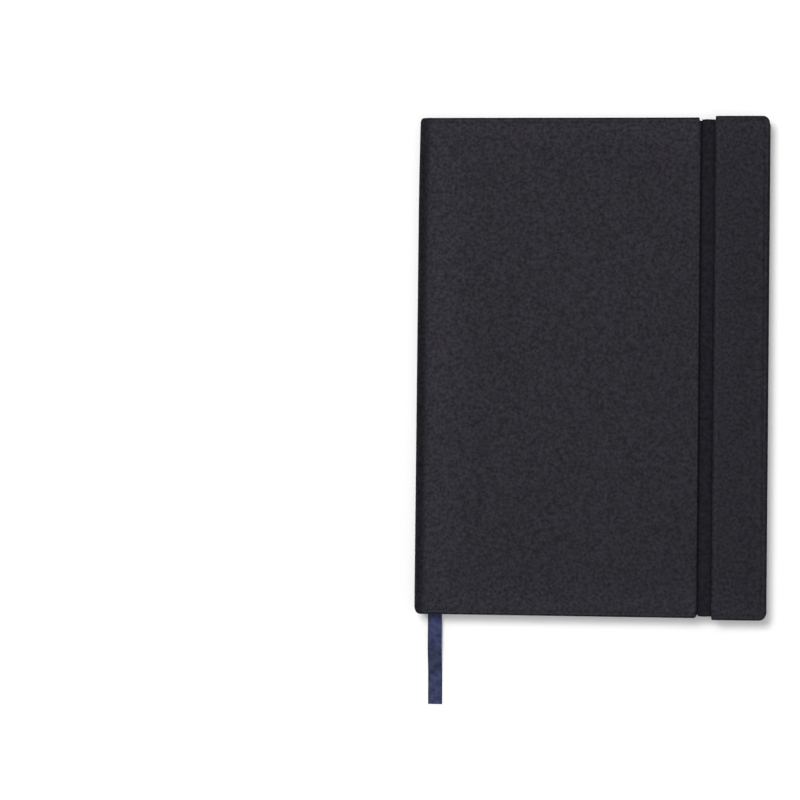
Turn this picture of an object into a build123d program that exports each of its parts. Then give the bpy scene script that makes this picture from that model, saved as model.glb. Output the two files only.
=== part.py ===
from build123d import *
import math
import os

# A soft-covered A5 address book, lying shut on its back cover. Millimetres.
# +Z is up, +X runs from the spine to the fore edge and +Y from the tail to the head.
# The origin lies under the middle of the book, on the surface that it rests on.

# Cover: padded leatherette drawn round a card board and turned in on its inner face
cover_width = 148.0
cover_height = 210.0
strip_flare = 0.7  # the strip outside the band stands this far out at head and tail
fore_corner_radius = 3.0
skin_thickness = 1.2
edge_wall = 1.0  # leatherette round the edge of a board
edge_radius = 0.6
shoulder_radius = 1.8  # where the cover turns into the spine
board_thickness = 1.0
board_clearance = 0.05
turn_in_width = 14.0
turn_in_thickness = 0.25
pastedown_thickness = 0.15
pastedown_margin = 2.5  # from the cover's edge to the paper's
hinge_strip = 4.8  # bare leatherette between the spine and a board

# Spine: leatherette, a card stiffener and the cloth that the leaves are sewn to
spine_gap = 0.05  # between the spine's ends and the two covers
spine_board_thickness = 1.0
mull_thickness = 0.5
mull_inset = 4.0  # the cloth stops this far from the head and the tail

# Leaves: one group of sheets to each index tab, thinned towards its fold
page_square = 3.0  # the cover stands this far past the pages at head, tail and fore edge
leaf_thickness = 0.40
flyleaf_thickness = 0.16
leaf_gap = 0.02
pastedown_gap = 0.05  # between the outer leaves and what they lie on
fold_clearance = 0.3  # from the folds to the cloth
gutter = 24.0  # the leaves thin to nothing over this distance from the fold
page_corner_radius = 3.0
tab_width = 10.0
tab_inner_radius = 2.0
tab_outer_radius = 1.0
tab_letters = [*"abcdefghijklmnopqrstuv", "wx", "yz"]

# Elastic band: a loop whose two ends go through the back cover
band_width = 5.4
band_thickness = 0.7
band_from_fore_edge = 25.6  # the band's middle line
band_seat_depth = 0.75  # the dent that the band lies in
band_side_clearance = 0.6
band_fold = 0.7  # inner radius of the band where it turns over an edge
band_edge_radius = 0.85  # the cover's edge under the band
notch_depth = 1.35  # the covers' edges are drawn in this far under the band
notch_radius = 0.6
slit_from_edge = 20.0
slit_clearance = 0.05
anchor_length = 18.0  # the band's end, glued under the back pastedown

# Ribbon: lies on the back pastedown, then over the tail edge of the cover and along the surface
ribbon_width = 6.0
ribbon_thickness = 0.2
ribbon_from_spine = 7.7  # the ribbon's middle line
ribbon_start = 8.0  # from the pages' head to the ribbon's glued end
ribbon_reach = [9.4, 19.0, 29.0, 38.8]  # points along the free tail, from the cover's edge
ribbon_height = [2.55, 0.8, 0.15, 0.12]  # their heights above the surface
ribbon_bend_share = 0.45  # share of the shorter run that a bend takes up

# Worked out from the sizes above
half_width = cover_width / 2
half_height = cover_height / 2
cavity_top = skin_thickness + board_thickness
tray_height = cavity_top + turn_in_thickness
cover_thickness = tray_height + pastedown_thickness
board_left = -half_width + skin_thickness + hinge_strip
pastedown_left = board_left + board_clearance
band_x = half_width - band_from_fore_edge
band_channel = band_width + 2 * band_side_clearance
notch_floor = half_height - notch_depth
slit_y = half_height - slit_from_edge
spine_inner = -half_width + skin_thickness + spine_board_thickness + mull_thickness
fold_x = spine_inner + fold_clearance
page_edge = half_width - page_square
page_height = cover_height - 2 * page_square
tab_pitch = page_height / len(tab_letters)
ribbon_x = -half_width + ribbon_from_spine
first_leaf = cover_thickness + ribbon_thickness + pastedown_gap
leaves_height = len(tab_letters) * (leaf_thickness + leaf_gap) + leaf_gap + 2 * flyleaf_thickness
last_leaf = first_leaf + leaves_height
thickness = last_leaf + pastedown_gap + cover_thickness


def block(x, y, z):
    """A box from three pairs of limits."""
    sizes = [high - low for low, high in (x, y, z)]
    return Pos(x[0], y[0], z[0]) * Box(*sizes, align=(Align.MIN, Align.MIN, Align.MIN))


def rounded(outline, points, radius):
    """The outline with the corners nearest to the given points rounded."""
    corners = [min(outline.vertices(), key=lambda v: math.dist((v.X, v.Y), p)) for p in points]
    return fillet(corners, radius)


def mirrored_points(points):
    """The same points at the head and at the tail, in order round the outline."""
    return points + [(x, -y) for x, y in reversed(points)]


def board_outline(inset, left):
    """A board's outline, inset from the cover's and from the notches that the band draws into it."""
    right = half_width - inset
    main = half_height - inset
    strip = main + strip_flare
    seat = notch_floor - inset
    near = band_x - band_channel / 2 - inset
    far = band_x + band_channel / 2 + inset
    notch = [(near, main), (near, seat), (far, seat), (far, strip)]
    head = [(left, main), *notch, (right, strip)]
    outline = make_face(Polyline(*mirrored_points(head), close=True))
    outline = rounded(outline, mirrored_points(head[-1:]), fore_corner_radius - inset)
    return rounded(outline, mirrored_points(notch), notch_radius)


def band_slit(sign):
    """The cut through the back cover where one end of the band goes in."""
    middle = sign * (slit_y - band_thickness / 2)
    reach = band_thickness / 2 + slit_clearance
    x = (band_x - band_channel / 2, band_x + band_channel / 2)
    return block(x, (middle - reach, middle + reach), (0, tray_height))


def anchor_bed(sign, clearance, top):
    """The room that the glued end of the band takes, from its slit towards the middle of the cover."""
    near = slit_y + clearance
    far = slit_y - band_thickness - anchor_length - clearance
    low, high = sorted((sign * near, sign * far))
    half = band_width / 2 + clearance
    floor = tray_height - band_thickness
    return block((band_x - half, band_x + half), (low, high), (floor, top))


def band_seat():
    """What the band's dent and its notches at head and tail take out of a cover, outer face down."""
    channel = (band_x - band_channel / 2, band_x + band_channel / 2)
    kept = block(channel, (-notch_floor, notch_floor), (band_seat_depth, cover_height))
    kept = fillet(kept.edges().filter_by(Axis.X).group_by(Axis.Z)[0], band_edge_radius)
    return block(channel, (-cover_height, cover_height), (0, cover_thickness)) - kept


def cover_skin():
    """Leatherette tray of the back cover, outer face down."""
    main = block((-half_width, band_x), (-half_height, half_height), (0, tray_height))
    under = main.edges().group_by(Axis.Z)[0]
    main = fillet(under.sort_by(Axis.X)[0], shoulder_radius)
    main = fillet(main.edges().group_by(Axis.Z)[0].filter_by(Axis.X), edge_radius)
    reach = half_height + strip_flare
    strip = block((band_x, half_width), (-reach, reach), (0, tray_height))
    strip = fillet(strip.edges().filter_by(Axis.Z).group_by(Axis.X)[-1], fore_corner_radius)
    strip = fillet(strip.edges().group_by(Axis.Z)[0].sort_by(Axis.X)[1:], edge_radius)
    skin = main + strip - band_seat()
    long_y = (-cover_height, cover_height)
    inside = -half_width + skin_thickness
    skin -= block((-cover_width, inside), long_y, (shoulder_radius, cover_thickness))
    skin -= block((inside, board_left), long_y, (skin_thickness, cover_thickness))
    skin -= Pos(Z=skin_thickness) * extrude(board_outline(edge_wall, board_left), board_thickness)
    opening_x = half_width - edge_wall - turn_in_width
    opening_y = half_height - edge_wall - turn_in_width
    opening_y = (-opening_y, opening_y)
    return skin - block((board_left, opening_x), opening_y, (cavity_top, cover_thickness))


def cover_board():
    """Card board of the back cover, without the band's cuts."""
    inset = edge_wall + board_clearance
    outline = board_outline(inset, board_left + board_clearance)
    return Pos(Z=skin_thickness) * extrude(outline, board_thickness)


def pastedown(bed_signs=()):
    """Paper glued over a board and its turn-ins, pressed down to the board between them."""
    edge_x = half_width - pastedown_margin
    edge_y = half_height - pastedown_margin
    inner_x = half_width - edge_wall - turn_in_width - board_clearance
    inner_y = half_height - edge_wall - turn_in_width - board_clearance
    paper = block((pastedown_left, edge_x), (-edge_y, edge_y), (tray_height, cover_thickness))
    pressed = block((pastedown_left, inner_x), (-inner_y, inner_y), (cavity_top, cover_thickness))
    wall = pastedown_thickness
    dip_x = (pastedown_left + wall, inner_x - wall)
    dip = block(dip_x, (wall - inner_y, inner_y - wall), (cavity_top + wall, cover_thickness))
    for sign in bed_signs:
        pressed -= anchor_bed(sign, slit_clearance, tray_height)
        dip -= anchor_bed(sign, slit_clearance + wall, cover_thickness)
    return paper + pressed - dip


def leaf_outline(cut_y, right=page_edge):
    """A leaf's outline: full width down to cut_y, and cut back by a tab's width below it."""
    half = page_height / 2
    head = (right, half)
    if cut_y is None:
        corners = [(fold_x, half), head, (right, -half), (fold_x, -half)]
        outline = make_face(Polyline(*corners, close=True))
        return rounded(outline, corners[1:3], page_corner_radius)
    tab = (right, cut_y)
    inner = (right - tab_width, cut_y)
    tail = (right - tab_width, -half)
    outline = make_face(Polyline((fold_x, half), head, tab, inner, tail, (fold_x, -half), close=True))
    outline = rounded(outline, [head], page_corner_radius)
    outline = rounded(outline, [tab], tab_outer_radius)
    return rounded(outline, [inner], tab_inner_radius)


def leaf(middle, full, outline):
    """A group of sheets lying level with its fold, thinned to a line along the fold."""
    side = [(fold_x + gutter, full / 2), (page_edge, full / 2)]
    points = [(fold_x, middle)] + [(x, middle + z) for x, z in side]
    points += [(x, middle - z) for x, z in reversed(side)]
    slab = extrude(Plane.XZ * make_face(Polyline(*points, close=True)), page_height / 2, both=True)
    return slab & Pos(Z=middle - full) * extrude(outline, 2 * full)


def spine_layer(outer, depth, half_length):
    """One flat layer of the spine, between the turns of the two covers."""
    end = shoulder_radius + spine_gap
    return block((outer, outer + depth), (-half_length, half_length), (end, thickness - end))


def strip_path(route, radius):
    """A path through (y, z) points, with its corners rounded."""
    return FilletPolyline(*[(0, y, z) for y, z in route], radius=radius)


def strip_along(path, width, depth):
    """A flat strip swept along a path, with its width along X."""
    section = Plane(origin=path @ 0, x_dir=(1, 0, 0), z_dir=path % 0) * Rectangle(width, depth)
    return sweep(section, path=path)


def route_radii(route):
    """The largest bend at each corner of a route that its two runs leave room for."""
    points = [Vector(0, y, z) for y, z in route]
    radii = []
    for before, corner, after in zip(points, points[1:], points[2:]):
        turn = math.radians((corner - before).get_angle(after - corner))
        run = min((corner - before).length, (after - corner).length)
        radii.append(ribbon_bend_share * run / math.tan(turn / 2))
    return radii


def flipped(part):
    """The same piece on the front cover, outer face up."""
    return mirror(part, about=Plane.XY.offset(thickness / 2))


parts = {}

# Covers
parts["front_cover_skin"] = flipped(cover_skin())
parts["front_cover_board"] = flipped(cover_board())
parts["front_pastedown"] = flipped(pastedown())
back_skin = cover_skin()
back_board = cover_board()
for name, sign in (("head", 1), ("tail", -1)):
    back_skin -= band_slit(sign)
    back_board -= band_slit(sign) + anchor_bed(sign, slit_clearance, tray_height)
    low, high = sorted((sign * slit_y, sign * (slit_y - band_thickness)))
    band_sides = (band_x - band_width / 2, band_x + band_width / 2)
    riser = block(band_sides, (low, high), (band_seat_depth - band_thickness, tray_height))
    parts["band_anchor_" + name] = riser + anchor_bed(sign, 0, tray_height)
parts["back_cover_skin"] = back_skin
parts["back_cover_board"] = back_board
parts["back_pastedown"] = pastedown(bed_signs=(1, -1))

# Spine
board_x = -half_width + skin_thickness
parts["spine_skin"] = spine_layer(-half_width, skin_thickness, half_height)
parts["spine_board"] = spine_layer(board_x, spine_board_thickness, page_height / 2)
mull_half = page_height / 2 - mull_inset
parts["spine_mull"] = spine_layer(board_x + spine_board_thickness, mull_thickness, mull_half)

# Leaves, from the back cover up
level = first_leaf + flyleaf_thickness / 2
parts["back_flyleaf"] = leaf(level, flyleaf_thickness, leaf_outline(None))
level += flyleaf_thickness / 2 + leaf_gap + leaf_thickness / 2
for place, letters in reversed(list(enumerate(tab_letters, 1))):
    cut = page_height / 2 - place * tab_pitch if place < len(tab_letters) else None
    parts["leaves_" + letters] = leaf(level, leaf_thickness, leaf_outline(cut))
    level += leaf_thickness + leaf_gap
level -= (leaf_thickness - flyleaf_thickness) / 2
parts["front_flyleaf"] = leaf(level, flyleaf_thickness, leaf_outline(None, page_edge - tab_width))

# Elastic band, from one slit round the head and the tail to the other
band_low = band_seat_depth - band_thickness / 2
band_leg = notch_floor + band_thickness / 2
half_loop = [(slit_y, band_low), (band_leg, band_low), (band_leg, thickness - band_low)]
loop = half_loop + [(-y, z) for y, z in reversed(half_loop)]
band_path = strip_path(loop, band_fold + band_thickness / 2)
parts["elastic_band"] = Pos(X=band_x) * strip_along(band_path, band_width, band_thickness)

# Ribbon marker
ribbon_sides = (ribbon_x - ribbon_width / 2, ribbon_x + ribbon_width / 2)
ribbon_run = (-half_height, page_height / 2 - ribbon_start)
ribbon_top = cover_thickness + ribbon_thickness
parts["ribbon_marker"] = block(ribbon_sides, ribbon_run, (cover_thickness, ribbon_top))
ribbon_route = [(-half_height, ribbon_top - ribbon_thickness / 2)]
ribbon_route += [(-half_height - reach, height) for reach, height in zip(ribbon_reach, ribbon_height)]
radii = route_radii(ribbon_route)
tail_path = strip_path(ribbon_route, radii)
tail = strip_along(tail_path, ribbon_width, ribbon_thickness)
parts["ribbon_tail"] = Pos(X=ribbon_x) * tail
tail_volume = ribbon_width * ribbon_thickness * tail_path.length
print("ribbon tail bends", [round(radius, 1) for radius in radii], "length", round(tail_path.length, 1))
print("ribbon tail volume", round(tail.volume, 2), "of section times length", round(tail_volume, 2))
print("book thickness", round(thickness, 2))

os.makedirs("parts", exist_ok=True)
for name, part in parts.items():
    export_step(part, f"parts/{name}.step")
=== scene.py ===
import math
import random
from collections import namedtuple

import bmesh
import bpy
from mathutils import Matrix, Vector, noise


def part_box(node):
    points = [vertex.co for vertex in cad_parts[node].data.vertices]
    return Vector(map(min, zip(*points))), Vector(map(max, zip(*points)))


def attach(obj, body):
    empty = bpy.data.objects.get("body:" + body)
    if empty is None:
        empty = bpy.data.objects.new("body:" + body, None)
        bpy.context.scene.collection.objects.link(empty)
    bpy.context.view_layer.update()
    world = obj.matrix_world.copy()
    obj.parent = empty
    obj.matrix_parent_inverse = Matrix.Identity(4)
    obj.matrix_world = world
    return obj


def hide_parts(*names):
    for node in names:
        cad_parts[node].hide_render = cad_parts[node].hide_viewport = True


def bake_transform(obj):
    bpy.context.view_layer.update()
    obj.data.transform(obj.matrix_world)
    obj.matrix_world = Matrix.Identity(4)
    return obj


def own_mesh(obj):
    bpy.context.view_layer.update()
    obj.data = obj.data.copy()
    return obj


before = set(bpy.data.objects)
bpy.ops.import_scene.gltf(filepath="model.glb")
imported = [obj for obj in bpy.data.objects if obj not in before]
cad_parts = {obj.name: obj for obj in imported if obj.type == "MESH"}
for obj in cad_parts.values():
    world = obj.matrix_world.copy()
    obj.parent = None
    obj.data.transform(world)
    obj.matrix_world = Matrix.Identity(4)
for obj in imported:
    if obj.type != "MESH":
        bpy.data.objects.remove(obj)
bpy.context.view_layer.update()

# An A5 address book in soft black leatherette, lying shut on its back cover. Metres.
# +Z is up, +X runs from the spine to the fore edge and +Y from the tail to the head.
MM = 0.001

# Camera, nearly straight above
IMAGE_SIDE = 800  # pixels
FOCAL_LENGTH = 3535.5  # pixels
CAMERA_PLACE = (0.105, -0.0509, 1.5)
CAMERA_TURN = (1.466, 7.117, 0.649)  # degrees about X, Y and Z

# Leatherette, drawn round the boards and turned in behind them
SKIN = 0.22 * MM
SHOULDER_HEIGHT = 2.9 * MM  # round turn of a cover into the spine
SHOULDER_WIDTH = 5.0 * MM
ROLL_WIDTH = 9 * MM  # the front cover falls gently towards the turn
ROLL_DROP = 0.2 * MM
TAIL_CORNER = 2.3 * MM  # round corners at the ends of the spine
HEAD_CORNER = 1.2 * MM
CORNER_RADIUS = 3.0 * MM  # round corners at the fore edge
EDGE_RADIUS = 0.8 * MM  # of the turned edges
EDGE_ROUND = 0.47  # the most of a thin edge that is rounded, from each face
HINGE_WALL = 1.15 * MM  # thickness of the turned edge at the spine and the hinge
HINGE_STEP = (1.0 * MM, 0.5 * MM)  # it thickens towards the board over this
TURN_IN = 15.0 * MM  # width turned in behind a board
HINGE_TURN_IN = 2.4 * MM  # and at the spine and the hinge
HEAD_PULL = 0.45 * MM  # the head of the spine is drawn in
HEAD_PULL_LENGTH = 43 * MM
HEAD_PULL_WIDTH = 25 * MM
CROWN = 0.2 * MM  # the padded front cover swells towards its middle
STRIP_SUNK = 0.25 * MM  # the strip outside the band lies lower than the rest
STRIP_DROP = 0.75 * MM  # and falls further towards the fore edge
CREASE_INSET = 1.5 * MM  # crease where the leatherette turns over the board's edge
CREASE_WIDTH = 0.45 * MM
CREASE_DEPTH = 0.06 * MM
RIDGE_INSET = 2.8 * MM  # ridge beside the crease
RIDGE_WIDTH = 0.8 * MM
RIDGE_HEIGHT = 0.04 * MM
DENT = 0.75 * MM  # depth of the band's dent
DENT_NEAR = (-0.30 * MM, 0.12 * MM)  # its sharp side, from the dent's near edge
DENT_FAR = (-0.45 * MM, 1.90 * MM)  # its soft side, from the dent's far edge
NOTCH_NEAR = (-1.00 * MM, -0.70 * MM)  # the cover's edge is drawn in from here under the band
NOTCH_FAR = (-0.20 * MM, 0.02 * MM)  # and stands out again here
RIM_HEIGHT = 0.10 * MM  # the cover swells beside the sharp side, towards the head and the tail
RIM_PLACE = -1.6 * MM
RIM_WIDTH = 1.4 * MM
LIP_HEIGHT = 0.22 * MM  # the cover's corners beside the band stand up
LIP_PLACE = (-1.3 * MM, 2.4 * MM)  # from the dent's near edge, and from the head or the tail
LIP_SPREAD = (1.3 * MM, 2.6 * MM)
WAVE_HEIGHT = 0.07 * MM  # slow unevenness of the front cover
WAVE_LENGTH = 55 * MM
HIGHLIGHT_REACH = 21 * MM  # painted highlight, paler towards the head, the tail and the turn into the spine
HIGHLIGHT_LINE = 8 * MM  # most of all along this line beside the turn
HIGHLIGHT_FALL = 3  # how much faster it fades over the turn
SLIT_WIDTH = 0.75 * MM  # slits in the back cover that the band goes through
SLIT_MARGIN = 0.05 * MM
SHARP_ANGLE = math.radians(60)
TOUCHING = 0.01 * MM  # a distance under this counts as none

# Steps of the leatherette's mesh across a cover, from the spine to the fore edge
SPINE_STEPS = 5
SHOULDER_STEPS = 12
HINGE_STEPS = 4
ROLL_STEPS = 8
FIELD_STEPS = 20
RIM_STEPS = 4
DENT_NEAR_STEPS = 4
DENT_STEPS = 6
DENT_FAR_STEPS = 8
STRIP_STEPS = 4
TURN_IN_STEPS = 9
CORNER_STEPS = 5

# Steps from its head edge to the middle of its height, and over a turned edge
HINGE_ROWS = 5
CORNER_ROWS = 2
TURN_IN_ROWS = 8
MIDDLE_ROWS = 10
EDGE_STEPS = 4

# Elastic band
BAND_THICKNESS = 0.55 * MM
BAND_ROOM = 0.7 * MM  # the loop's thickness round the head and the tail
BAND_CLEARANCE = 0.25 * MM  # on each side, in its dent
BAND_CROWN = 0.12 * MM
BAND_BEND = 1.0 * MM  # radius over the covers' edges
BAND_BEND_STEPS = 6
BAND_RIBS = 9
BAND_RIB_DEPTH = 0.05 * MM
BAND_RIB_STEPS = 4
BAND_EDGE_ANGLE = 1.2  # radians of its round selvedges, up and down
BAND_EDGE_STEPS = 5

# Ribbon marker: points along its free tail, in millimetres
RIBBON_ROUTE = [
    (-66.3, -105.0, 2.70),
    (-66.3, -114.4, 2.75),
    (-66.3, -119.0, 2.60),
    (-66.3, -124.0, 1.55),
    (-66.25, -129.0, 0.45),
    (-66.2, -134.0, 0.20),
    (-66.15, -143.8, 0.12),
]
ROUTE_ORDER = 3
ROUTE_STEPS = 8  # between two points of the route
RIBBON_CUP = 0.16 * MM  # the free tail's edges stand a little higher than the rest
RIBBON_EDGE = 6  # how suddenly they rise
RIBBON_COLUMNS = 14
MARKER_STEPS = 12

# Leaves: four sheets to each index tab
LETTERS = [*"ABCDEFGHIJKLMNOPQRSTUV", "WX", "YZ"]
SHEETS = 4
SHEET_SHARE = 0.9  # of its room in the group that a sheet takes up
SHEET_SHIFT = 0.10 * MM  # sheets lie unevenly by up to this
SHIFT_SEED = 7
TAB_WIDTH = 10.0 * MM
TAB_OUTER_CORNER = 1.0 * MM
TAB_INNER_CORNER = 2.0 * MM
TAB_CORNER_STEPS = 4
PAGE_CORNER = 3.0 * MM
PAGE_CORNER_STEPS = 5
CURL_COLUMNS = 22
CURL_ROOM = 36 * MM
LETTER_SIZE = 5.2 * MM
LETTER_BOLD = 0.11 * MM
INK_LIFT = 0.004 * MM
INK_THICKNESS = 0.002 * MM
ROW_PITCH = 8.2 * MM
RULE_WIDTH = 0.16 * MM
RULED_MARGINS = (14 * MM, 11 * MM)  # at the gutter and beside the tabs
RULED_END = 6 * MM  # margin at the head and the tail
COLUMNS_FROM_EDGE = [12.0 * MM, 20.1 * MM, 62 * MM, 104 * MM]

# Finishes. A grain has the size of its specks and how many finer sizes it holds. Shades run from dark
# to pale between two levels of a grain, and roughness from its low to its high places. A bump has
# strength and depth.
Grain = namedtuple("Grain", "size detail")
Shades = namedtuple("Shades", "low high dark pale")

LEATHER_GLOSS = 0.040
LEATHER_TINT = (0.91, 0.88, 1.0, 1)
LEATHER_PEBBLE = Grain(1.30 * MM, 2)
LEATHER_SPECK = Grain(0.4 * MM, 3)
LEATHER_CLOUD = Grain(24 * MM, 2)
LEATHER_TONE = (0.72, 0.2, 0.08)  # shares of these three in its colour
LEATHER_RELIEF = (0.8, 0.2)  # shares of the first two in its height
LEATHER_PLAIN = Shades(0.28, 0.72, (0.0012, 0.0009, 0.0022), (0.0170, 0.0162, 0.0210))
# paler shades of the leatherette for the painted highlight
LEATHER_HIGHLIGHT_SHADES = Shades(0.28, 0.72, (0.0022, 0.0017, 0.0035), (0.0230, 0.0219, 0.0284))
LEATHER_ROUGHNESS = (0.60, 0.30)
LEATHER_BUMP = (0.7, 0.09 * MM)

ELASTIC_GLOSS = 0.10
ELASTIC_TINT = (0.90, 0.86, 1.0, 1)
ELASTIC_PICK = 0.28 * MM
ELASTIC_FUZZ = Grain(0.25 * MM, 3)
ELASTIC_MOTTLE = Grain(1.6 * MM, 2)
ELASTIC_TONE = (0.15, 0.15, 0.7)  # shares of picks, fuzz and mottle
ELASTIC_WOVEN = Shades(0.3, 0.7, (0.0004, 0.0003, 0.0010), (0.0130, 0.0124, 0.0166))
# darker shades at the selvedges: partly a tighter weave, partly painted shade from the band's dent
ELASTIC_SELVEDGE_AND_SHADE = Shades(0.3, 0.7, (0.0003, 0.0002, 0.0008), (0.0088, 0.0083, 0.0113))
ELASTIC_EDGE_FROM = (1.3 * MM, 2.5 * MM)  # distances from its middle
ELASTIC_ROUGHNESS = (0.72, 0.92)
ELASTIC_BUMP = (0.5, 0.05 * MM)

SATIN_GLOSS = 0.145
SATIN_TINT = (0.26, 0.31, 1.0, 1)
SATIN_PICK = 0.16 * MM
SATIN_WARP = 0.12 * MM
SATIN_FUZZ = Grain(0.6 * MM, 3)
SATIN_MOTTLE = Grain(2.2 * MM, 2)
SATIN_RIPPLE = Grain(4.5 * MM, 1)
SATIN_TONE = (0.2, 0.2, 0.6)  # shares of picks, fuzz and mottle
SATIN_WOVEN = Shades(0.32, 0.68, (0.0065, 0.0085, 0.0165), (0.0470, 0.0540, 0.0875))
SATIN_EDGE = (0.0150, 0.0170, 0.0330, 1)
SATIN_EDGE_FROM = (2.5 * MM, 2.8 * MM)  # distances from its middle
SATIN_ROUGHNESS = (0.36, 0.44)
SATIN_RELIEF = (1.1 * MM, 0.02 * MM)  # heights of the ripples and the threads
SATIN_BUMP = (0.5, 1.0)

PAPER_GLOSS = 0.15
PAPER_FIBRE = Grain(0.7 * MM, 4)
PAPER_WHITE = Shades(0.3, 0.7, (0.77, 0.77, 0.75), (0.82, 0.82, 0.80))
PAPER_RULES = (0.36, 0.37, 0.39, 1)
PAPER_ROUGHNESS = (0.8, 0.95)
PAPER_BUMP = (0.08, 0.02 * MM)

LINING_FIBRE = Grain(0.8 * MM, 5)
LINING_WHITE = Shades(0.3, 0.7, (0.72, 0.71, 0.68), (0.79, 0.78, 0.75))
LINING_BUMP = (0.12, 0.03 * MM)

BOARD_GLOSS = 0.1
BOARD_FLECK = Grain(0.5 * MM, 5)
BOARD_GREY = Shades(0.35, 0.65, (0.22, 0.20, 0.18), (0.36, 0.34, 0.31))
BOARD_ROUGHNESS = (0.85, 1.0)
BOARD_BUMP = (0.2, 0.05 * MM)

GAUZE_GLOSS = 0.1
GAUZE_THREAD = 0.6 * MM
GAUZE_CREAM = Shades(0.3, 0.9, (0.40, 0.38, 0.33), (0.70, 0.68, 0.62))
GAUZE_ROUGHNESS = (0.85, 0.95)
GAUZE_BUMP = (0.5, 0.1 * MM)

INK_GLOSS = 0.2
INK_SPECK = Grain(0.2 * MM, 2)
INK_BLACK = Shades(0.3, 0.8, (0.012, 0.012, 0.013), (0.03, 0.03, 0.032))
INK_ROUGHNESS = (0.5, 0.65)

# Stage: a white floor, with some light of its own that grows with the distance from the book
WHITE = (1, 1, 1, 1)
FLOOR_SIDE = 6.0
FLOOR_DROP = 0.02 * MM
FLOOR_COLOUR = (0.80, 0.80, 0.80, 1)
GLOW = (0.185, 0.85)
GLOW_FROM = (0.35, 2.0)  # distances from the book

# Light: each lamp's place, side and power
WORLD_LIGHT = 0.25
KEY_LAMP = ((-0.225, 0.37, 2.0), 0.54, 30.5)
FILL_LAMP = ((0.38, -0.40, 2.0), 0.6, 5.5)
SHEEN_LAMP = ((-0.40, -0.24, 2.0), 0.6, 22)  # adds to the gloss only

# A place across a cover: how deep its outer face lies there, the direction inwards, and the
# thickness and the turn-in of its edge at the head and the tail
Station = namedtuple("Station", "x depth in_x in_depth wall flap")


# Sizes read from the frame

def limits(node):
    """Lowest and highest corner of a piece at rest."""
    low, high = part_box(node)
    return Vector(low), Vector(high)


front_low, front_high = limits("front_cover_skin")
spine_low, spine_high = limits("spine_skin")
band_low, band_high = limits("elastic_band")
_, anchor_high = limits("band_anchor_head")
board_low, _ = limits("front_cover_board")
marker_low, marker_high = limits("ribbon_marker")
tail_low, tail_high = limits("ribbon_tail")
leaf_low, leaf_high = limits("leaves_a")

thickness = front_high.z
spine_x = spine_low.x
fore_x = front_high.x
head_y = spine_high.y
strip_head = front_high.y
tray = thickness - front_low.z
band_x = (band_low.x + band_high.x) / 2
band_width = band_high.x - band_low.x
notch_y = band_high.y - BAND_ROOM
slit_y = anchor_high.y
near_x = band_x - band_width / 2 - BAND_CLEARANCE
far_x = band_x + band_width / 2 + BAND_CLEARANCE
hinge_end = board_low.x


# Small helpers

def smooth(value, low, high):
    """Goes from 0 at low to 1 at high, with level ends."""
    share = min(1.0, max(0.0, (value - low) / (high - low)))
    return share * share * (3 - 2 * share)


def hump(value, middle, width):
    """A bell of height 1."""
    return math.exp(-((value - middle) / width) ** 2)


def even(low, high, count):
    """Values from low to high, evenly apart."""
    return [low + (high - low) * k / count for k in range(count + 1)]


def eased(low, high, count):
    """Values from low to high, closer together at both ends."""
    return [low + (high - low) * (1 - math.cos(math.pi * k / count)) / 2 for k in range(count + 1)]


def arc(centre, radius, start, stop, steps):
    """Points round part of a circle, with angles in degrees."""
    angles = [math.radians(value) for value in even(start, stop, steps)]
    return [(centre[0] + radius * math.cos(a), centre[1] + radius * math.sin(a)) for a in angles]


def lengths_along(points):
    """Each point's distance along a line from its first point."""
    lengths = [0]
    for point, after in zip(points, points[1:]):
        lengths.append(lengths[-1] + math.dist(point, after))
    return lengths


def tube_faces(rings, count, base=0):
    """Faces between rings of points, each ring with the same count of them."""
    faces = []
    for ring in range(rings - 1):
        start = base + ring * count
        stop = start + count
        for k in range(count):
            after = (k + 1) % count
            faces.append((start + k, start + after, stop + after, stop + k))
    return faces


def end_faces(rings, count):
    """Faces that close the first and the last ring."""
    last = (rings - 1) * count
    return [list(range(count)), list(range(last, last + count))]


def add_mesh(name, points, faces):
    """A new object from points and faces."""
    mesh = bpy.data.meshes.new(name)
    mesh.from_pydata(points, [], faces)
    mesh.validate()
    piece = bpy.data.objects.new(name, mesh)
    bpy.context.scene.collection.objects.link(piece)
    return piece


def add_map(piece, name, places):
    """Gives each point of a piece its place on a flat map."""
    flat = piece.data.uv_layers.new(name=name)
    for loop in piece.data.loops:
        flat.data[loop.index].uv = places[loop.vertex_index]


def settle_normals(piece):
    """Turns the faces outwards, with smooth shading except over sharp edges."""
    shell = bmesh.new()
    shell.from_mesh(piece.data)
    bmesh.ops.recalc_face_normals(shell, faces=shell.faces)
    for face in shell.faces:
        face.smooth = True
    for edge in shell.edges:
        edge.smooth = edge.calc_face_angle(0) < SHARP_ANGLE
    shell.to_mesh(piece.data)
    shell.free()


def thicken(piece, depth):
    """Gives an open sheet its thickness, inwards."""
    modifier = piece.modifiers.new("thickness", "SOLIDIFY")
    modifier.thickness = depth
    modifier.offset = -1
    modifier.use_even_offset = True
    bpy.context.view_layer.update()
    evaluated = piece.evaluated_get(bpy.context.evaluated_depsgraph_get())
    solid = bpy.data.meshes.new_from_object(evaluated)
    piece.modifiers.clear()
    piece.data = solid


# Leatherette

def cover_edge(x, sign):
    """A cover's head or tail edge: round at the spine, drawn in under the band, further out beyond it."""
    into = smooth(x, near_x + NOTCH_NEAR[0], near_x + NOTCH_NEAR[1])
    out = smooth(x, far_x + NOTCH_FAR[0], far_x + NOTCH_FAR[1])
    corner = HEAD_CORNER if sign > 0 else TAIL_CORNER
    from_round = min(1, (x - spine_x) / corner)
    cut = corner * (1 - math.sqrt(1 - (1 - from_round) ** 2))
    return head_y - cut + (notch_y - head_y) * into + (strip_head - notch_y) * out


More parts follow.
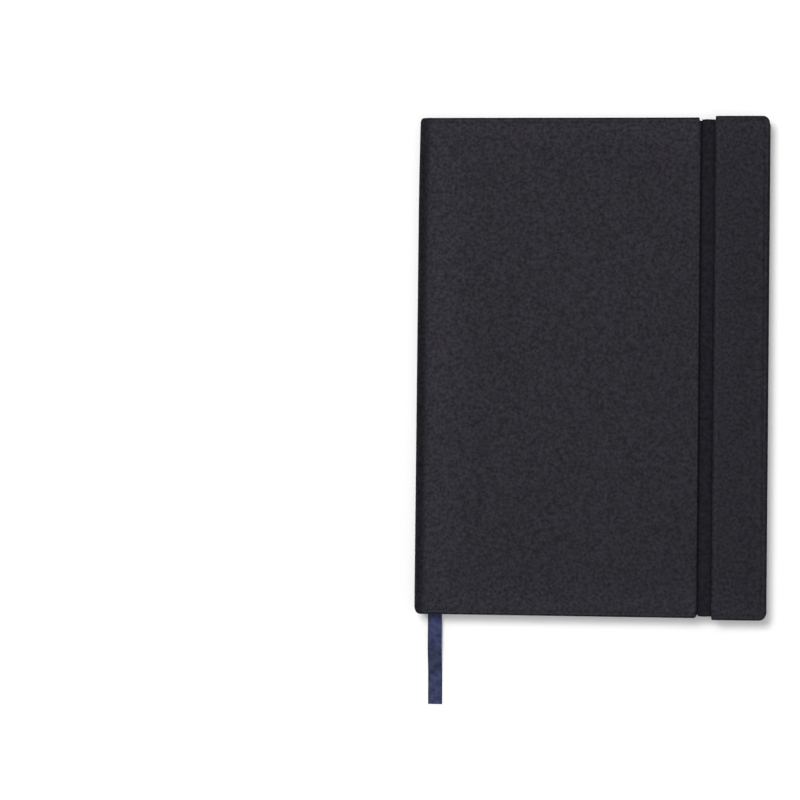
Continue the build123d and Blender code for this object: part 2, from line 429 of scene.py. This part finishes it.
def stations():
    """Places across a cover, from the middle of the spine to the fore edge."""
    places = []
    for depth in even(thickness / 2, SHOULDER_HEIGHT, SPINE_STEPS)[:-1]:
        places.append(Station(spine_x, depth, 1, 0, HINGE_WALL, HINGE_TURN_IN))
    for angle in even(0, math.pi / 2, SHOULDER_STEPS):
        x = spine_x + SHOULDER_WIDTH * (1 - math.cos(angle))
        depth = SHOULDER_HEIGHT * (1 - math.sin(angle))
        inwards = Vector((math.cos(angle) / SHOULDER_WIDTH, math.sin(angle) / SHOULDER_HEIGHT)).normalized()
        places.append(Station(x, depth, *inwards, HINGE_WALL, HINGE_TURN_IN))
    flat = even(spine_x + SHOULDER_WIDTH, hinge_end - HINGE_STEP[1], HINGE_STEPS)[1:]
    flat += even(hinge_end, spine_x + ROLL_WIDTH, ROLL_STEPS)
    flat += eased(spine_x + ROLL_WIDTH, near_x + RIM_PLACE - RIM_WIDTH, FIELD_STEPS)[1:]
    flat += even(near_x + RIM_PLACE, near_x + DENT_NEAR[0], RIM_STEPS)
    flat += even(near_x + DENT_NEAR[0], near_x + DENT_NEAR[1], DENT_NEAR_STEPS)[1:]
    flat += even(near_x + DENT_NEAR[1], far_x + DENT_FAR[0], DENT_STEPS)[1:]
    flat += even(far_x + DENT_FAR[0], far_x + DENT_FAR[1], DENT_FAR_STEPS)[1:]
    flat += eased(far_x + DENT_FAR[1], fore_x - TURN_IN, STRIP_STEPS)[1:]
    flat += eased(fore_x - TURN_IN, fore_x - CORNER_RADIUS, TURN_IN_STEPS)[1:]
    flat += even(fore_x - CORNER_RADIUS, fore_x - EDGE_RADIUS, CORNER_STEPS)[1:]
    for x in flat:
        on_board = smooth(x, hinge_end - HINGE_STEP[0], hinge_end - HINGE_STEP[1])
        wall = HINGE_WALL + (tray - HINGE_WALL) * on_board
        flap = TURN_IN if on_board == 1 else HINGE_TURN_IN
        places.append(Station(x, 0, 0, 1, wall, flap))
    return places


def row_insets():
    """Distances of the rows from the cover's head edge to the middle of its height."""
    slit = head_y - slit_y
    insets = even(EDGE_RADIUS, HINGE_TURN_IN, HINGE_ROWS)
    insets += even(HINGE_TURN_IN, CORNER_RADIUS, CORNER_ROWS)[1:]
    insets += eased(CORNER_RADIUS, TURN_IN, TURN_IN_ROWS)[1:]
    insets += [slit - SLIT_MARGIN]
    insets += even(slit + SLIT_WIDTH, head_y, MIDDLE_ROWS)
    return insets


def surface_point(station, inset, sign):
    """Where a row crosses a station: x, y, the way out over the edge, and the distance to the edge."""
    edge = cover_edge(station.x, sign)
    shift = (edge - head_y) * (1 - smooth(inset, EDGE_RADIUS, TURN_IN))
    x = station.x
    y = head_y - inset + shift
    inner = CORNER_RADIUS - EDGE_RADIUS
    centre_x = fore_x - CORNER_RADIUS
    across = (x - centre_x) / inner
    along = (CORNER_RADIUS - inset) / inner
    gap = min(inset, fore_x - x)
    out = (0, 1) if inset <= fore_x - x else (1, 0)
    if across > 0 and along > 0:
        rounded_x = across * math.sqrt(1 - along * along / 2)
        rounded_y = along * math.sqrt(1 - across * across / 2)
        x = centre_x + inner * rounded_x
        y = edge - CORNER_RADIUS + inner * rounded_y
        radius = math.hypot(rounded_x, rounded_y)
        gap = CORNER_RADIUS - inner * radius
        out = (rounded_x / radius, rounded_y / radius)
    pull = HEAD_PULL * max(0, (sign * y - head_y) / HEAD_PULL_LENGTH + 1) ** 2
    x += pull * (1 - smooth(station.x, spine_x, spine_x + HEAD_PULL_WIDTH))
    return x, sign * y, (out[0], sign * out[1]), gap


def beyond_band(x):
    """Goes from 0 under the band to 1 on the strip outside it, steeply at first."""
    share = (x - far_x - DENT_FAR[0]) / (DENT_FAR[1] - DENT_FAR[0])
    return 1 - (1 - min(1, max(0, share))) ** 2


def dent(x):
    """How far the band presses into a cover."""
    near = smooth(x, near_x + DENT_NEAR[0], near_x + DENT_NEAR[1])
    return DENT * near * (1 - beyond_band(x))


def edge_relief(gap):
    """Crease and ridge along the turned edges."""
    crease = CREASE_DEPTH * hump(gap, CREASE_INSET, CREASE_WIDTH)
    return RIDGE_HEIGHT * hump(gap, RIDGE_INSET, RIDGE_WIDTH) - crease


def front_relief(x, y):
    """Height of the front cover's outer face over its flat."""
    middle = (spine_x + near_x) / 2
    half = (near_x - spine_x) / 2
    bulge = max(0, 1 - ((x - middle) / half) ** 2) * (1 - (y / head_y) ** 4)
    rim = RIM_HEIGHT * hump(x, near_x + RIM_PLACE, RIM_WIDTH) * (y / head_y) ** 2
    height = CROWN * bulge + rim
    lip_x = hump(x, near_x + LIP_PLACE[0], LIP_SPREAD[0])
    height += LIP_HEIGHT * lip_x * hump(abs(y), head_y - LIP_PLACE[1], LIP_SPREAD[1])
    height -= STRIP_SUNK * beyond_band(x) + STRIP_DROP * max(0, (x - far_x) / (fore_x - far_x))
    height -= ROLL_DROP * max(0, 1 - (x - spine_x) / ROLL_WIDTH) ** 2
    wave = noise.noise(Vector((x, y, 0)) / WAVE_LENGTH)
    return height + WAVE_HEIGHT * wave - dent(x)


def back_relief(x, y):
    """Height of the back cover's outer face, which lies on the table, the same at any y."""
    return -dent(x)


def wall_steps(wall):
    """Steps over a turned edge: how far out, and how far behind the outer face."""
    turns = even(0, math.pi / 2, EDGE_STEPS)
    round_depth = min(EDGE_RADIUS, wall * EDGE_ROUND)
    steps = [(EDGE_RADIUS * math.sin(a), round_depth * (1 - math.cos(a))) for a in turns[1:]]
    steps += [(EDGE_RADIUS * math.cos(a), wall - round_depth * (1 - math.sin(a))) for a in turns]
    return steps


def leather_cover(name, relief, facing, slits):
    """A cover's leatherette with its half of the spine: outer face, edges and turn-ins in one sheet."""
    columns = stations()
    half_rows = row_insets()
    rows = [(inset, -1) for inset in half_rows] + [(inset, 1) for inset in reversed(half_rows[:-1])]
    last_column = len(columns) - 1
    last_row = len(rows) - 1
    points = []
    faces = []
    highlight_gaps = []

    def add_point(i, j, behind, out_by):
        station = columns[i]
        x, y, out, gap = surface_point(station, *rows[j])
        on_top = facing > 0 and station.in_depth == 1
        crease = edge_relief(gap) if on_top else min(0, edge_relief(gap))
        height = crease + relief(x, y) * station.in_depth
        share = 1 - min(1, behind / station.wall)
        x += out[0] * out_by + station.in_x * (behind - height * share)
        y += out[1] * out_by
        depth = station.depth + station.in_depth * (behind - height * share)
        points.append((x, y, thickness - depth if facing > 0 else depth))
        # distances for the painted highlight: from the head or the tail edge, and from a line beside the
        # turn
        from_line = station.x - spine_x - HIGHLIGHT_LINE
        highlight_gaps.append((rows[j][0], max(from_line, -from_line * HIGHLIGHT_FALL)))
        return len(points) - 1

    outer = [[add_point(i, j, 0, 0) for j in range(last_row + 1)] for i in range(last_column + 1)]
    for i in range(last_column):
        middle_x = (columns[i].x + columns[i + 1].x) / 2
        under_band = abs(middle_x - band_x) < band_width / 2
        for j in range(last_row):
            middle_y = abs(points[outer[i][j]][1] + points[outer[i][j + 1]][1]) / 2
            in_slit = under_band and slit_y - SLIT_WIDTH < middle_y < slit_y
            if not (slits and in_slit):
                faces.append((outer[i][j], outer[i + 1][j], outer[i + 1][j + 1], outer[i][j + 1]))

    rim = [(i, 0) for i in range(last_column + 1)]
    rim += [(last_column, j) for j in range(1, last_row + 1)]
    rim += [(i, last_row) for i in range(last_column - 1, -1, -1)]
    inner = {}
    rings = []
    for i, j in rim:
        steps = wall_steps(columns[i].wall)
        ring = [outer[i][j]] + [add_point(i, j, behind, out) for out, behind in steps]
        inner[i, j] = ring[-1]
        rings.append(ring)
    for ring, following in zip(rings, rings[1:]):
        for k in range(len(ring) - 1):
            faces.append((ring[k], ring[k + 1], following[k + 1], following[k]))

    def inner_point(i, j):
        if (i, j) not in inner:
            inner[i, j] = add_point(i, j, columns[i].wall, 0)
        return inner[i, j]

    for i in range(last_column):
        reach = min(columns[i].flap, columns[i + 1].flap)
        at_fore_edge = columns[i].x > fore_x - TURN_IN - TOUCHING
        at_board = columns[i].wall < columns[i + 1].wall
        for j in range(last_row):
            near_end = max(rows[j][0], rows[j + 1][0]) < reach + TOUCHING
            if near_end or at_fore_edge or at_board:
                corners = [(i, j), (i, j + 1), (i + 1, j + 1), (i + 1, j)]
                faces.append([inner_point(*corner) for corner in corners])

    piece = add_mesh(name, points, faces)
    # a flat map of the painted highlight's distances
    add_map(piece, "wear", highlight_gaps)
    settle_normals(piece)
    thicken(piece, SKIN)
    settle_normals(piece)
    return piece


# Elastic band

def band_section():
    """The band's cross-section: ribs along both faces and round selvedges."""
    half = band_width / 2
    thick = BAND_THICKNESS / 2
    flat = half - thick
    face = []
    for x in even(-flat, flat, BAND_RIBS * BAND_RIB_STEPS):
        rib = (1 - math.cos(2 * math.pi * BAND_RIBS * (x + flat) / (2 * flat))) / 2
        face.append((x, thick - BAND_RIB_DEPTH * (1 - rib) - BAND_CROWN * (x / flat) ** 2))
    angles = even(BAND_EDGE_ANGLE, -BAND_EDGE_ANGLE, BAND_EDGE_STEPS)
    upper = face + [(flat + thick * math.cos(a), thick * math.sin(a)) for a in angles]
    lower = [(-x, -z) for x, z in upper]
    return upper + lower


def band_line():
    """Points (y, z) along the band's middle, with its outward side, from slit to slit."""
    outer_y = band_high.y - BAND_THICKNESS / 2
    low = DENT - BAND_THICKNESS / 2
    high = thickness - low
    bend = BAND_BEND
    line = [((slit_y, low), (0, -1))]
    corners = [((outer_y - bend, low + bend), -90), ((outer_y - bend, high - bend), 0),
               ((-outer_y + bend, high - bend), 90), ((-outer_y + bend, low + bend), 180)]
    for centre, start in corners:
        for angle in even(start, start + 90, BAND_BEND_STEPS):
            side = (math.cos(math.radians(angle)), math.sin(math.radians(angle)))
            line.append(((centre[0] + bend * side[0], centre[1] + bend * side[1]), side))
    line.append(((-slit_y, low), (0, -1)))
    return line


def elastic_band():
    """The band's loop over the covers, from slit to slit."""
    section = band_section()
    line = band_line()
    points = []
    for (y, z), side in line:
        points += [(band_x + x, y + side[0] * out, z + side[1] * out) for x, out in section]
    faces = tube_faces(len(line), len(section)) + end_faces(len(line), len(section))
    piece = add_mesh("elastic_loop", points, faces)
    lengths = lengths_along([place for place, side in line])
    add_map(piece, "weave", [(x, length) for length in lengths for x, out in section])
    settle_normals(piece)
    return piece


# Ribbon marker

def smooth_route(points):
    """Points read from a smooth curve that has these as its control points."""
    curve = bpy.data.curves.new("route", "CURVE")
    curve.dimensions = "3D"
    curve.resolution_u = ROUTE_STEPS
    spline = curve.splines.new("NURBS")
    spline.points.add(len(points) - 1)
    for knot, point in zip(spline.points, points):
        knot.co = (*point, 1)
    spline.order_u = ROUTE_ORDER
    spline.use_endpoint_u = True
    holder = bpy.data.objects.new("route", curve)
    line = bpy.data.meshes.new_from_object(holder)
    read = [vertex.co.copy() for vertex in line.vertices]
    bpy.data.objects.remove(holder)
    bpy.data.curves.remove(curve)
    bpy.data.meshes.remove(line)
    return read


def ribbon_strip(name, path, width, depth, cup):
    """A flat woven strip along a path, with its edges raised by its cup."""
    across = even(-1, 1, RIBBON_COLUMNS)
    count = 2 * len(across)
    lengths = lengths_along(path)
    points = []
    places = []
    for k, point in enumerate(path):
        ahead = path[min(k + 1, len(path) - 1)] - path[max(k - 1, 0)]
        up = ahead.cross(Vector((1, 0, 0))).normalized()
        for side in (1, -1):
            for share in across[::side]:
                rise = side * depth / 2 + cup * abs(share) ** RIBBON_EDGE
                points.append(point + Vector((share * width / 2, 0, 0)) + up * rise)
                places.append((points[-1].x - point.x, lengths[k]))
    faces = tube_faces(len(path), count) + end_faces(len(path), count)
    piece = add_mesh(name, points, faces)
    add_map(piece, "weave", places)
    settle_normals(piece)
    return piece


# Leaves

def page_outline(start_x, right, half, cut_y):
    """A leaf's outline beyond its bend, from the tail round the fore edge to the head."""
    head = arc((right - PAGE_CORNER, half - PAGE_CORNER), PAGE_CORNER, 0, 90, PAGE_CORNER_STEPS)
    if cut_y is None:
        tail = arc((right - PAGE_CORNER, PAGE_CORNER - half), PAGE_CORNER, -90, 0, PAGE_CORNER_STEPS)
        return [(start_x, -half)] + tail + head + [(start_x, half)]
    left = right - TAB_WIDTH
    inner_centre = (left + TAB_INNER_CORNER, cut_y - TAB_INNER_CORNER)
    outer_centre = (right - TAB_OUTER_CORNER, cut_y + TAB_OUTER_CORNER)
    inner = arc(inner_centre, TAB_INNER_CORNER, 180, 90, TAB_CORNER_STEPS)
    outer = arc(outer_centre, TAB_OUTER_CORNER, -90, 0, TAB_CORNER_STEPS)
    return [(start_x, -half), (left, -half)] + inner + outer + head + [(start_x, half)]


def add_sheet(points, faces, fold_x, bottom, top, outline):
    """One sheet: narrow strips over its bend and one flat face beyond it."""
    start_x = outline[0][0]
    half = outline[-1][1]
    base = len(points)
    ring = [(-half, bottom), (half, bottom), (half, top), (-half, top)]
    count = len(ring)
    for x in even(fold_x, start_x, CURL_COLUMNS):
        points += [(x, y, z) for y, z in ring]
    faces += tube_faces(CURL_COLUMNS + 1, count, base)
    faces.append(list(range(base, base + count)))
    lower_tail, lower_head, upper_head, upper_tail = range(len(points) - count, len(points))
    lower = [lower_tail]
    upper = [upper_tail]
    for x, y in outline[1:-1]:
        points += [(x, y, bottom), (x, y, top)]
        lower.append(len(points) - 2)
        upper.append(len(points) - 1)
    lower.append(lower_head)
    upper.append(upper_head)
    faces.append(lower[::-1])
    faces.append(upper)
    for k in range(len(lower) - 1):
        faces.append((lower[k], lower[k + 1], upper[k + 1], upper[k]))


def leaf(node, sheets, cut_y, chance):
    """The sheets of one index tab, or a flyleaf."""
    low, high = limits(node)
    room = (high.z - low.z) / sheets
    half_depth = room * SHEET_SHARE / 2
    points = []
    faces = []
    for k in range(sheets):
        middle = low.z + room * (k + 0.5)
        shift_x = chance.uniform(-1, 0) * SHEET_SHIFT
        shift_y = chance.uniform(-1, 0) * SHEET_SHIFT
        outline = page_outline(low.x + CURL_ROOM, high.x + shift_x, high.y + shift_y, cut_y)
        add_sheet(points, faces, low.x, middle - half_depth, middle + half_depth, outline)
    piece = add_mesh(node.replace("leaves", "sheets").replace("flyleaf", "endleaf"), points, faces)
    add_map(piece, "page", [(vertex.co.x - low.x, vertex.co.y) for vertex in piece.data.vertices])
    settle_normals(piece)
    return piece


def letter_shape(letters):
    """Points and faces of bold letters, as thin as ink, in the middle of their own plane."""
    text = bpy.data.curves.new("letters", "FONT")
    text.body = letters
    text.size = LETTER_SIZE
    text.bevel_depth = LETTER_BOLD
    text.bevel_resolution = 0
    text.align_x = "CENTER"
    text.align_y = "CENTER"
    holder = bpy.data.objects.new("letters", text)
    bpy.context.scene.collection.objects.link(holder)
    bpy.context.view_layer.update()
    mesh = bpy.data.meshes.new_from_object(holder.evaluated_get(bpy.context.evaluated_depsgraph_get()))
    bpy.data.objects.remove(holder)
    bpy.data.curves.remove(text)
    flatten = INK_THICKNESS / (2 * LETTER_BOLD)
    corners = [Vector((v.co.x, v.co.y, v.co.z * flatten)) for v in mesh.vertices]
    shapes = [list(face.vertices) for face in mesh.polygons]
    bpy.data.meshes.remove(mesh)
    middle_x = (min(c.x for c in corners) + max(c.x for c in corners)) / 2
    middle_y = (min(c.y for c in corners) + max(c.y for c in corners)) / 2
    return [(c.x - middle_x, c.y - middle_y, c.z) for c in corners], shapes


def tab_letter(letters, x, y, top, bottom):
    """Index letters on both faces of a tab."""
    corners, shapes = letter_shape(letters)
    upper = [(x + cx, y + cy, top + INK_LIFT + cz) for cx, cy, cz in corners]
    lower = [(x - cx, y + cy, bottom - INK_LIFT - cz) for cx, cy, cz in corners]
    again = [[k + len(corners) for k in shape] for shape in shapes]
    piece = add_mesh("letters_" + letters.lower(), upper + lower, shapes + again)
    settle_normals(piece)
    return piece


# Materials

class Tree:
    """A node tree, with short ways to add to it."""

    def __init__(self, tree):
        self.nodes = tree.nodes
        self.links = tree.links

    def feed(self, socket, value):
        """Links a socket to another's output, or sets its value."""
        if hasattr(value, "is_linked"):
            self.links.new(value, socket)
        else:
            socket.default_value = value

    def add(self, kind, inputs=None, **settings):
        node = self.nodes.new("ShaderNode" + kind)
        for key, value in settings.items():
            setattr(node, key, value)
        for key, value in (inputs or {}).items():
            self.feed(node.inputs[key], value)
        return node

    def math(self, operation, *values):
        node = self.add("Math", dict(enumerate(values)), operation=operation)
        return node.outputs["Value"]

    def range(self, value, to=(0.0, 1.0), within=(0.0, 1.0), kind="LINEAR"):
        """Turns one range of values into another, and keeps inside it."""
        inputs = {"Value": value, "From Min": within[0], "From Max": within[1],
                  "To Min": to[0], "To Max": to[1]}
        return self.add("MapRange", inputs, interpolation_type=kind).outputs["Result"]

    def seen(self):
        """1 where the camera looks, also by reflection or through glass, and 0 for other light."""
        rays = self.add("LightPath").outputs
        either = self.math("MAXIMUM", rays["Is Camera Ray"], rays["Is Glossy Ray"])
        return self.math("MAXIMUM", either, rays["Is Transmission Ray"])


class Finish(Tree):
    """A procedural material."""

    def __init__(self, name, **sockets):
        self.material = bpy.data.materials.new(name)
        self.material.use_nodes = True
        super().__init__(self.material.node_tree)
        self.shader = self.nodes["Principled BSDF"]
        for socket, value in sockets.items():
            self.shader.inputs[socket.replace("_", " ")].default_value = value

    def place(self):
        return self.add("TexCoord").outputs["Object"]

    def parts(self, vector):
        return self.add("SeparateXYZ", {"Vector": vector}).outputs

    def map_parts(self, name):
        """Coordinates on one of the piece's flat maps."""
        return self.parts(self.add("UVMap", uv_map=name).outputs["UV"])

    def noise(self, grain):
        inputs = {"Scale": 1 / grain.size, "Detail": grain.detail, "Vector": self.place()}
        return self.add("TexNoise", inputs).outputs["Fac"]

    def threads(self, along, pitch):
        """Goes from 0 between threads to 1 on top of them."""
        return self.math("DIVIDE", self.math("PINGPONG", along, pitch), pitch)

    def weigh(self, values, shares):
        """Sum of the values, each times its share."""
        total = 0.0
        for value, share in zip(reversed(values), reversed(shares)):
            total = self.math("MULTIPLY_ADD", value, share, total)
        return total

    def ramp(self, factor, shades):
        node = self.add("ValToRGB", {"Fac": factor})
        first, last = node.color_ramp.elements
        first.position = shades.low
        last.position = shades.high
        first.color = (*shades.dark, 1)
        last.color = (*shades.pale, 1)
        return node.outputs["Color"]

    def blend(self, factor, first, second):
        node = self.add("Mix", data_type="RGBA")
        sockets = {socket.identifier: socket for socket in [*node.inputs, *node.outputs]}
        self.feed(sockets["Factor_Float"], factor)
        self.feed(sockets["A_Color"], first)
        self.feed(sockets["B_Color"], second)
        return sockets["Result_Color"]

    def colour(self, value):
        self.feed(self.shader.inputs["Base Color"], value)

    def roughness(self, value):
        self.feed(self.shader.inputs["Roughness"], value)

    def bump(self, height, strength, depth):
        node = self.add("Bump", {"Height": height, "Strength": strength, "Distance": depth})
        self.feed(self.shader.inputs["Normal"], node.outputs["Normal"])

    def grained(self, grain, shades, roughness):
        """One grain in the colour and the roughness."""
        speck = self.noise(grain)
        self.colour(self.ramp(speck, shades))
        self.roughness(self.range(speck, roughness))
        return speck


def leatherette():
    """Pebbled black leatherette, with a painted highlight towards the head, the tail and the turn into the
    spine.
    """
    finish = Finish("black_leatherette", Specular_IOR_Level=LEATHER_GLOSS, Specular_Tint=LEATHER_TINT)
    pebble = finish.noise(LEATHER_PEBBLE)
    speck = finish.noise(LEATHER_SPECK)
    cloud = finish.noise(LEATHER_CLOUD)
    tone = finish.weigh([pebble, speck, cloud], LEATHER_TONE)
    # painted highlight: paler near the head, the tail and the turn into the spine
    gaps = finish.map_parts("wear")
    nearest = finish.math("MINIMUM", gaps["X"], gaps["Y"])
    highlight_share = finish.range(nearest, (1.0, 0.0), (0.0, HIGHLIGHT_REACH), "SMOOTHSTEP")
    finish.colour(finish.blend(highlight_share, finish.ramp(tone, LEATHER_PLAIN), finish.ramp(tone, LEATHER_HIGHLIGHT_SHADES)))
    height = finish.weigh([pebble, speck], LEATHER_RELIEF)
    finish.roughness(finish.range(height, LEATHER_ROUGHNESS))
    finish.bump(height, *LEATHER_BUMP)
    return finish.material


def elastic():
    """Woven black elastic, darker towards its selvedges: partly a tighter weave there, partly painted shade
    from the dent it lies in.
    """
    finish = Finish("black_elastic", Specular_IOR_Level=ELASTIC_GLOSS, Specular_Tint=ELASTIC_TINT)
    weave = finish.map_parts("weave")
    picks = finish.threads(weave["Y"], ELASTIC_PICK)
    fuzz = finish.noise(ELASTIC_FUZZ)
    mottle = finish.noise(ELASTIC_MOTTLE)
    tone = finish.weigh([picks, fuzz, mottle], ELASTIC_TONE)
    from_middle = finish.math("ABSOLUTE", weave["X"])
    # darker towards the selvedges: partly weave, partly painted shade
    edge_share = finish.range(from_middle, within=ELASTIC_EDGE_FROM)
    finish.colour(finish.blend(edge_share, finish.ramp(tone, ELASTIC_WOVEN), finish.ramp(tone, ELASTIC_SELVEDGE_AND_SHADE)))
    finish.roughness(finish.range(fuzz, ELASTIC_ROUGHNESS))
    finish.bump(finish.math("ADD", picks, fuzz), *ELASTIC_BUMP)
    return finish.material


def satin():
    """Navy satin ribbon, rippled, with fine threads both ways."""
    finish = Finish("navy_ribbon", Specular_IOR_Level=SATIN_GLOSS, Specular_Tint=SATIN_TINT)
    weave = finish.map_parts("weave")
    picks = finish.threads(weave["Y"], SATIN_PICK)
    warps = finish.threads(weave["X"], SATIN_WARP)
    fuzz = finish.noise(SATIN_FUZZ)
    mottle = finish.noise(SATIN_MOTTLE)
    ripple = finish.noise(SATIN_RIPPLE)
    tone = finish.weigh([picks, fuzz, mottle], SATIN_TONE)
    from_middle = finish.math("ABSOLUTE", weave["X"])
    edge_share = finish.range(from_middle, within=SATIN_EDGE_FROM)
    finish.colour(finish.blend(edge_share, finish.ramp(tone, SATIN_WOVEN), SATIN_EDGE))
    finish.roughness(finish.range(fuzz, SATIN_ROUGHNESS))
    threads = finish.math("ADD", picks, warps)
    finish.bump(finish.weigh([ripple, threads], SATIN_RELIEF), *SATIN_BUMP)
    return finish.material


def ruled_paper(right, half):
    """White paper with pale grey rows and columns, which stop short of the gutter and the tabs."""
    finish = Finish("white_paper", Specular_IOR_Level=PAPER_GLOSS)
    page = finish.map_parts("page")
    across = page["X"]
    along = page["Y"]
    row_gap = finish.math("PINGPONG", along, ROW_PITCH / 2)
    lines = finish.math("LESS_THAN", row_gap, RULE_WIDTH / 2)
    for place in COLUMNS_FROM_EDGE:
        column = finish.math("COMPARE", across, right - place, RULE_WIDTH / 2)
        lines = finish.math("MAXIMUM", lines, column)
    from_middle = finish.math("ABSOLUTE", along)
    ruled = [
        finish.math("GREATER_THAN", across, RULED_MARGINS[0]),
        finish.math("LESS_THAN", across, right - RULED_MARGINS[1]),
        finish.math("LESS_THAN", from_middle, half - RULED_END),
    ]
    for inside in ruled:
        lines = finish.math("MULTIPLY", lines, inside)
    fibre = finish.noise(PAPER_FIBRE)
    finish.colour(finish.blend(lines, finish.ramp(fibre, PAPER_WHITE), PAPER_RULES))
    finish.roughness(finish.range(fibre, PAPER_ROUGHNESS))
    finish.bump(fibre, *PAPER_BUMP)
    return finish.material


def endpaper():
    """Plain off-white lining paper."""
    finish = Finish("endpaper", Specular_IOR_Level=PAPER_GLOSS)
    finish.bump(finish.grained(LINING_FIBRE, LINING_WHITE, PAPER_ROUGHNESS), *LINING_BUMP)
    return finish.material


def greyboard():
    """Flecked grey card."""
    finish = Finish("greyboard", Specular_IOR_Level=BOARD_GLOSS)
    finish.bump(finish.grained(BOARD_FLECK, BOARD_GREY, BOARD_ROUGHNESS), *BOARD_BUMP)
    return finish.material


def gauze():
    """Open cream cloth."""
    finish = Finish("spine_gauze", Specular_IOR_Level=GAUZE_GLOSS)
    place = finish.parts(finish.place())
    weft = finish.threads(place["Y"], GAUZE_THREAD)
    warp = finish.threads(place["Z"], GAUZE_THREAD)
    weave = finish.math("MAXIMUM", weft, warp)
    finish.colour(finish.ramp(weave, GAUZE_CREAM))
    finish.roughness(finish.range(weave, GAUZE_ROUGHNESS))
    finish.bump(weave, *GAUZE_BUMP)
    return finish.material


def ink():
    """Black printing ink."""
    finish = Finish("black_ink", Specular_IOR_Level=INK_GLOSS)
    finish.grained(INK_SPECK, INK_BLACK, INK_ROUGHNESS)
    return finish.material


def dress(piece, material):
    """Gives a piece its material."""
    piece.data.materials.clear()
    piece.data.materials.append(material)


black = leatherette()
stretch = elastic()
navy = satin()
board_finish = greyboard()
lining = endpaper()
letter_ink = ink()


# Covers

front = leather_cover("front_leatherette", front_relief, 1, False)
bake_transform(front)
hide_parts("front_cover_skin", "spine_skin")
dress(front, black)

back = leather_cover("back_leatherette", back_relief, -1, True)
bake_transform(back)
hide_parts("back_cover_skin")
dress(back, black)


# Band

band = elastic_band()
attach(band, "back_cover")
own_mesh(band)
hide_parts("elastic_band")
dress(band, stretch)


# Ribbon

route = smooth_route([Vector(point) * MM for point in RIBBON_ROUTE])
ribbon_width = tail_high.x - tail_low.x
ribbon_depth = marker_high.z - marker_low.z
tail = ribbon_strip("ribbon_free_end", route, ribbon_width, ribbon_depth, RIBBON_CUP)
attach(tail, "back_cover")
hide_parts("ribbon_tail")
dress(tail, navy)

ribbon_x = (marker_low.x + marker_high.x) / 2
ribbon_z = (marker_low.z + marker_high.z) / 2
run = [Vector((ribbon_x, y, ribbon_z)) for y in even(marker_high.y, marker_low.y, MARKER_STEPS)]
marker = ribbon_strip("ribbon_inside", run, ribbon_width, ribbon_depth, 0)
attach(marker, "back_cover")
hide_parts("ribbon_marker")
dress(marker, navy)


# Leaves, from the back cover to the front

order = ["leaves_" + letters.lower() for letters in reversed(LETTERS)]
order = ["back_flyleaf"] + order + ["front_flyleaf"]
chance = random.Random(SHIFT_SEED)
fold_x = leaf_low.x
page_right = leaf_high.x
page_half = leaf_high.y
tab_pitch = 2 * page_half / len(LETTERS)
paper = ruled_paper(page_right - fold_x, page_half)
for place, node in enumerate(order):
    low, high = limits(node)
    tab = len(LETTERS) - place
    is_leaf = node.startswith("leaves")
    cut_y = page_half - (tab + 1) * tab_pitch if is_leaf and tab < len(LETTERS) - 1 else None
    piece = leaf(node, SHEETS if is_leaf else 1, cut_y, chance)
    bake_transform(piece)
    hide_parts(node)
    dress(piece, paper)
    if is_leaf:
        letter_y = page_half - (tab + 0.5) * tab_pitch
        letter = tab_letter(LETTERS[tab], page_right - TAB_WIDTH / 2, letter_y, high.z, low.z)
        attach(letter, node)
        dress(letter, letter_ink)


# Boards, linings, the band's glued ends and the cloth of the spine

for node in ("front_cover_board", "back_cover_board", "spine_board"):
    dress(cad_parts[node], board_finish)
for node in ("front_pastedown", "back_pastedown"):
    dress(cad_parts[node], lining)
for node in ("band_anchor_head", "band_anchor_tail"):
    dress(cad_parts[node], stretch)
dress(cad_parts["spine_mull"], gauze())


# Stage

def floor_white():
    """White that stays white to the camera and in reflections, and still takes the book's shadow."""
    finish = Finish("floor_white", Base_Color=FLOOR_COLOUR, Emission_Color=WHITE, Specular_IOR_Level=0.0,
                    Roughness=1.0)
    distance = finish.add("VectorMath", {0: finish.place()}, operation="LENGTH").outputs["Value"]
    glow = finish.math("MULTIPLY", finish.seen(), finish.range(distance, GLOW, GLOW_FROM))
    finish.feed(finish.shader.inputs["Emission Strength"], glow)
    return finish.material


half_floor = FLOOR_SIDE / 2
corners = [(-half_floor, -half_floor, -FLOOR_DROP), (half_floor, -half_floor, -FLOOR_DROP),
           (half_floor, half_floor, -FLOOR_DROP), (-half_floor, half_floor, -FLOOR_DROP)]
floor = add_mesh("floor", corners, [(0, 1, 2, 3)])
floor.data.materials.append(floor_white())


# Light

def area_lamp(name, place, side, power):
    """A square soft lamp that faces the book's middle."""
    lamp = bpy.data.lights.new(name, "AREA")
    lamp.shape = "SQUARE"
    lamp.size = side
    lamp.energy = power
    holder = bpy.data.objects.new(name, lamp)
    holder.location = place
    holder.rotation_euler = (-Vector(place)).to_track_quat("-Z", "Y").to_euler()
    bpy.context.scene.collection.objects.link(holder)
    return holder


def set_world():
    """Even light all round, and white where the camera looks."""
    world = bpy.data.worlds.new("studio")
    bpy.context.scene.world = world
    world.use_nodes = True
    tree = Tree(world.node_tree)
    background = tree.nodes["Background"]
    tree.feed(background.inputs["Color"], WHITE)
    tree.feed(background.inputs["Strength"], tree.range(tree.seen(), (WORLD_LIGHT, 1.0)))


area_lamp("key_lamp", *KEY_LAMP)
area_lamp("fill_lamp", *FILL_LAMP)
sheen = area_lamp("sheen_lamp", *SHEEN_LAMP)
sheen.visible_diffuse = False
set_world()
bpy.context.scene.view_settings.view_transform = "Standard"


# Camera

lens = bpy.data.cameras.new("camera")
lens.lens = FOCAL_LENGTH / IMAGE_SIDE * lens.sensor_width
camera = bpy.data.objects.new("camera", lens)
camera.location = CAMERA_PLACE
camera.rotation_euler = [math.radians(value) for value in CAMERA_TURN]
bpy.context.scene.collection.objects.link(camera)
bpy.context.scene.camera = camera
